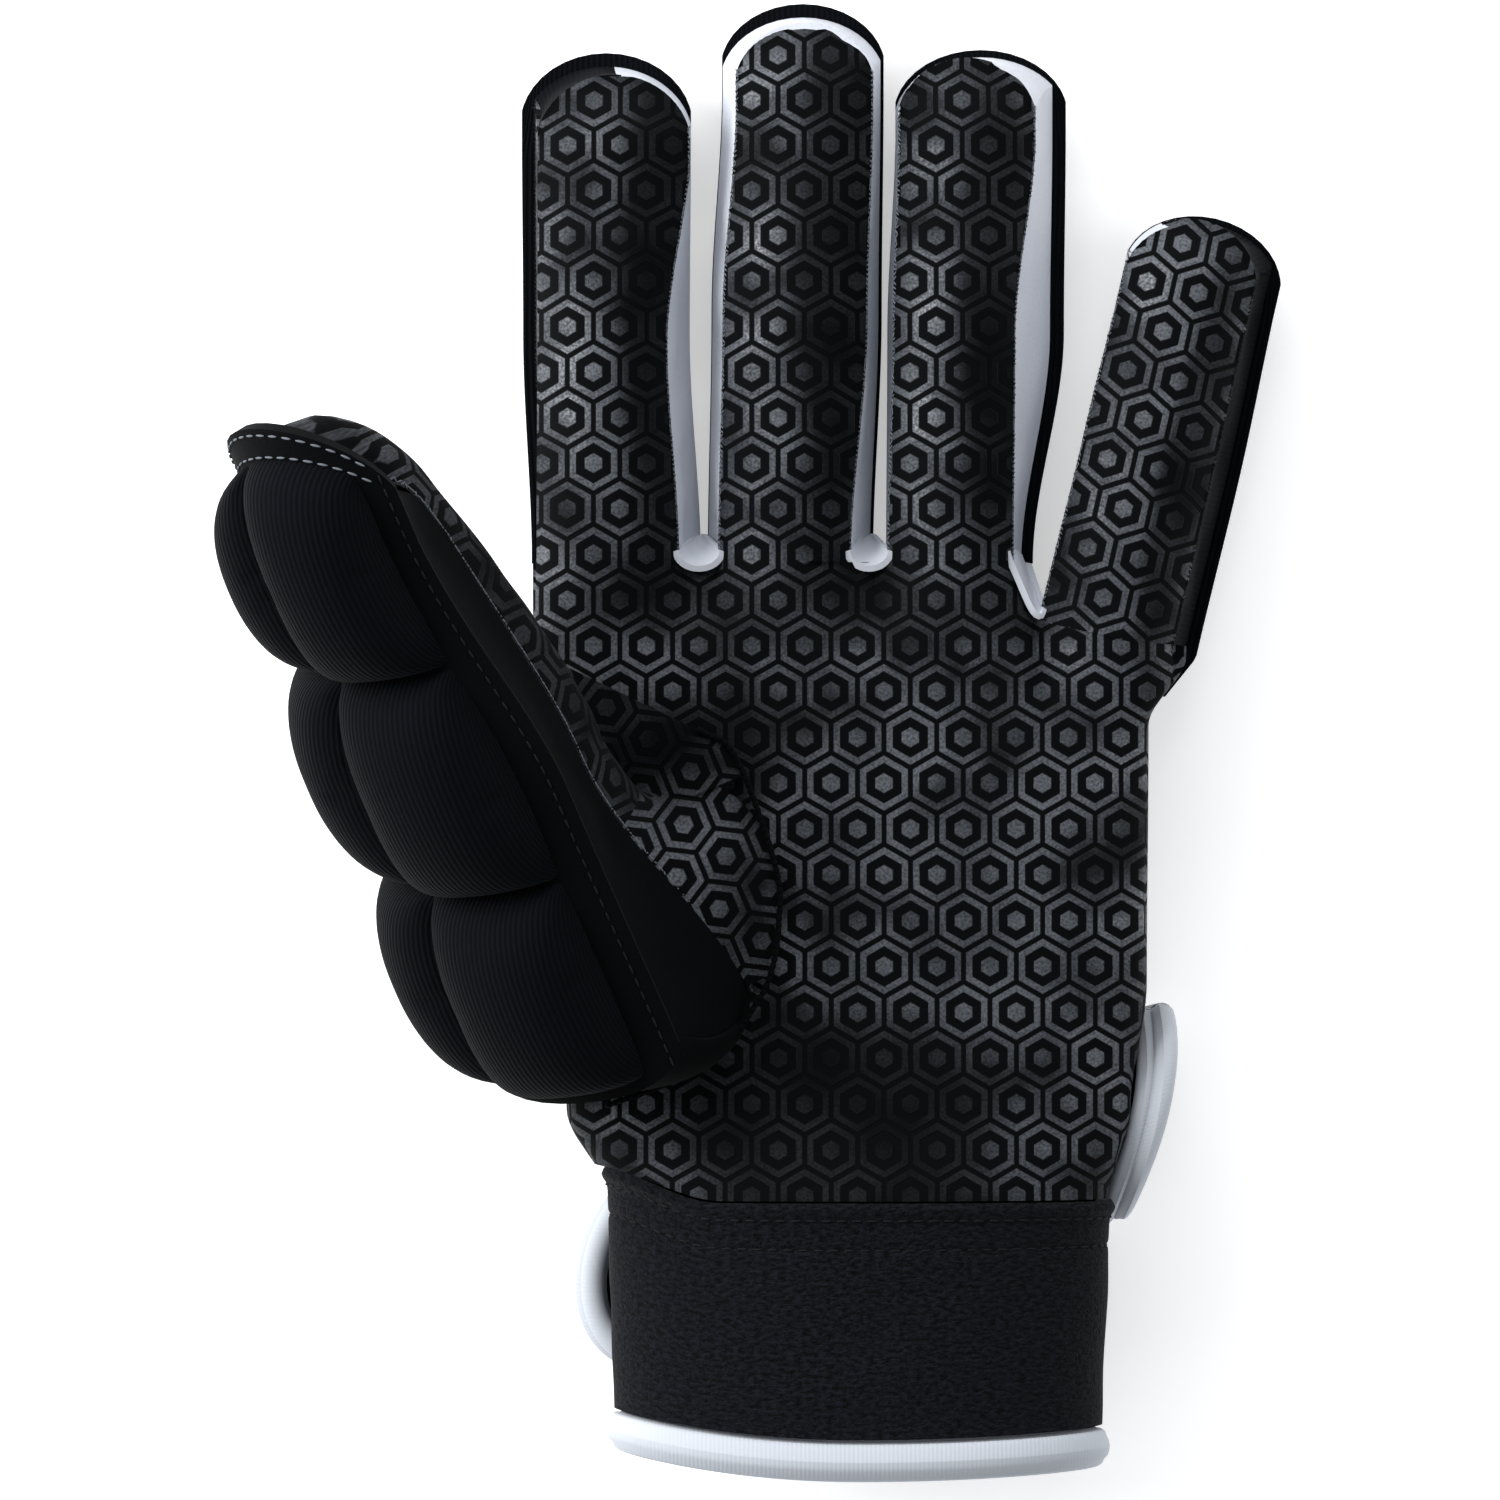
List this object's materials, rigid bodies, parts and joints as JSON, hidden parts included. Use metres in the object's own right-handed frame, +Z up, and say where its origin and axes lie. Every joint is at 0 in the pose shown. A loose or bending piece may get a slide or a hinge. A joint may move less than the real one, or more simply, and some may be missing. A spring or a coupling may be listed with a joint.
{
  "type": "indoor hockey glove",
  "caption": "Padded left-hand indoor hockey glove: grip-printed palm, foam-quilted back and thumb, white finger gussets, elastic wrist band and closing strap",
  "frame": {"origin": "middle of the footprint, on the floor the padded back lies on", "axes": "+Y to the fingertips, +Z up out of the palm, -X to the thumb"},
  "size_m": [0.1688, 0.2358, 0.0925],
  "materials": {
    "printed_suede": "matt suede with a printed silicone grip",
    "black_knit": "ribbed knit over foam",
    "ribbed_elastic": "fine elastic knit",
    "neoprene": "smooth neoprene",
    "white_gusset": "white stretch fabric",
    "white_binding": "white rolled binding",
    "hook_tape": "hook tape"
  },
  "bodies": {
    "hand": {"thumb_web_1": "neoprene", "thumb_base_gusset": "neoprene", "thumb_back_1": "black_knit", "thumb_left_gusset_1": "neoprene", "thumb_front_1": "printed_suede", "palm_panel": "printed_suede", "hand_back_panel": "black_knit", "wrist_band": "ribbed_elastic", "wrist_binding": "white_binding", "wrist_strap": "neoprene", "strap_binding": "white_binding"},
    "index_1": {"index_front_1": "printed_suede", "index_back_1": "black_knit", "index_right_gusset_1": "white_gusset"},
    "index_2": {"index_front_2": "printed_suede", "index_back_2": "black_knit", "index_right_gusset_2": "white_gusset"},
    "index_3": {"index_front_3": "printed_suede", "index_back_3": "black_knit", "index_gusset_3": "white_gusset"},
    "middle_1": {"middle_front_1": "printed_suede", "middle_back_1": "black_knit", "middle_left_gusset_1": "white_gusset", "middle_right_gusset_1": "white_gusset"},
    "middle_2": {"middle_front_2": "printed_suede", "middle_back_2": "black_knit", "middle_left_gusset_2": "white_gusset", "middle_right_gusset_2": "white_gusset"},
    "middle_3": {"middle_front_3": "printed_suede", "middle_back_3": "black_knit", "middle_gusset_3": "white_gusset"},
    "ring_1": {"ring_front_1": "printed_suede", "ring_back_1": "black_knit", "ring_left_gusset_1": "white_gusset", "ring_right_gusset_1": "white_gusset"},
    "ring_2": {"ring_front_2": "printed_suede", "ring_back_2": "black_knit", "ring_left_gusset_2": "white_gusset", "ring_right_gusset_2": "white_gusset"},
    "ring_3": {"ring_front_3": "printed_suede", "ring_back_3": "black_knit", "ring_gusset_3": "white_gusset"},
    "little_1": {"little_front_1": "printed_suede", "little_back_1": "black_knit", "little_left_gusset_1": "white_gusset"},
    "little_2": {"little_front_2": "printed_suede", "little_back_2": "black_knit", "little_left_gusset_2": "white_gusset"},
    "little_3": {"little_front_3": "printed_suede", "little_back_3": "black_knit", "little_gusset_3": "white_gusset"},
    "thumb_2": {"thumb_front_2": "printed_suede", "thumb_back_2": "black_knit", "thumb_left_gusset_2": "neoprene"},
    "thumb_3": {"thumb_front_3": "printed_suede", "thumb_back_3": "black_knit", "thumb_gusset_3": "neoprene"},
    "strap_tab": {"strap_tab": "neoprene", "tab_binding": "white_binding", "hook_patch": "hook_tape"}
  },
  "joints": [
    {"name": "index_knuckle", "type": "hinge", "parent": "hand", "child": "index_1", "pos_m": [-0.02304, 0.0279, 0.0322], "axis": [1, 0, 0], "range_deg": [0, 60]},
    {"name": "index_middle_joint", "type": "hinge", "parent": "index_1", "child": "index_2", "pos_m": [-0.02304, 0.05602, 0.03112], "axis": [1, 0, 0], "range_deg": [0, 80]},
    {"name": "index_tip_joint", "type": "hinge", "parent": "index_2", "child": "index_3", "pos_m": [-0.02304, 0.08023, 0.02841], "axis": [1, 0, 0], "range_deg": [0, 48]},
    {"name": "middle_knuckle", "type": "hinge", "parent": "hand", "child": "middle_1", "pos_m": [0.00556, 0.0279, 0.0322], "axis": [1, 0, 0], "range_deg": [0, 60]},
    {"name": "middle_middle_joint", "type": "hinge", "parent": "middle_1", "child": "middle_2", "pos_m": [0.00556, 0.05901, 0.03112], "axis": [1, 0, 0], "range_deg": [0, 80]},
    {"name": "middle_tip_joint", "type": "hinge", "parent": "middle_2", "child": "middle_3", "pos_m": [0.00556, 0.08579, 0.02841], "axis": [1, 0, 0], "range_deg": [0, 48]},
    {"name": "ring_knuckle", "type": "hinge", "parent": "hand", "child": "ring_1", "pos_m": [0.03276, 0.0279, 0.0322], "axis": [1, 0, 0], "range_deg": [0, 60]},
    {"name": "ring_middle_joint", "type": "hinge", "parent": "ring_1", "child": "ring_2", "pos_m": [0.03276, 0.05699, 0.03112], "axis": [1, 0, 0], "range_deg": [0, 80]},
    {"name": "ring_tip_joint", "type": "hinge", "parent": "ring_2", "child": "ring_3", "pos_m": [0.03276, 0.08204, 0.02841], "axis": [1, 0, 0], "range_deg": [0, 48]},
    {"name": "little_knuckle", "type": "hinge", "parent": "hand", "child": "little_1", "pos_m": [0.05636, 0.0159, 0.0322], "axis": [1, 0, 0], "range_deg": [0, 60]},
    {"name": "little_middle_joint", "type": "hinge", "parent": "little_1", "child": "little_2", "pos_m": [0.06182, 0.03995, 0.03112], "axis": [0.9751, -0.2215, 0], "range_deg": [0, 80]},
    {"name": "little_tip_joint", "type": "hinge", "parent": "little_2", "child": "little_3", "pos_m": [0.06653, 0.06066, 0.02841], "axis": [0.9751, -0.2215, 0], "range_deg": [0, 48]},
    {"name": "thumb_middle_joint", "type": "hinge", "parent": "hand", "child": "thumb_2", "pos_m": [-0.02272, -0.00634, 0.03628], "axis": [-0.561, 0.123, -0.8187], "range_deg": [0, 5]},
    {"name": "thumb_tip_joint", "type": "hinge", "parent": "thumb_2", "child": "thumb_3", "pos_m": [-0.03838, 0.02515, 0.05174], "axis": [-0.561, 0.123, -0.8187], "range_deg": [0, 20]},
    {"name": "strap_tab_hinge", "type": "hinge", "parent": "hand", "child": "strap_tab", "pos_m": [0.06547, -0.05897, 0.0095], "axis": [0.2201, 0.9755, 0], "range_deg": [0, 80]}
  ],
  "couplings": [
    {"joint": "index_tip_joint", "follows": "index_middle_joint", "ratio": 0.6},
    {"joint": "middle_tip_joint", "follows": "middle_middle_joint", "ratio": 0.6},
    {"joint": "ring_tip_joint", "follows": "ring_middle_joint", "ratio": 0.6},
    {"joint": "little_tip_joint", "follows": "little_middle_joint", "ratio": 0.6}
  ]
}
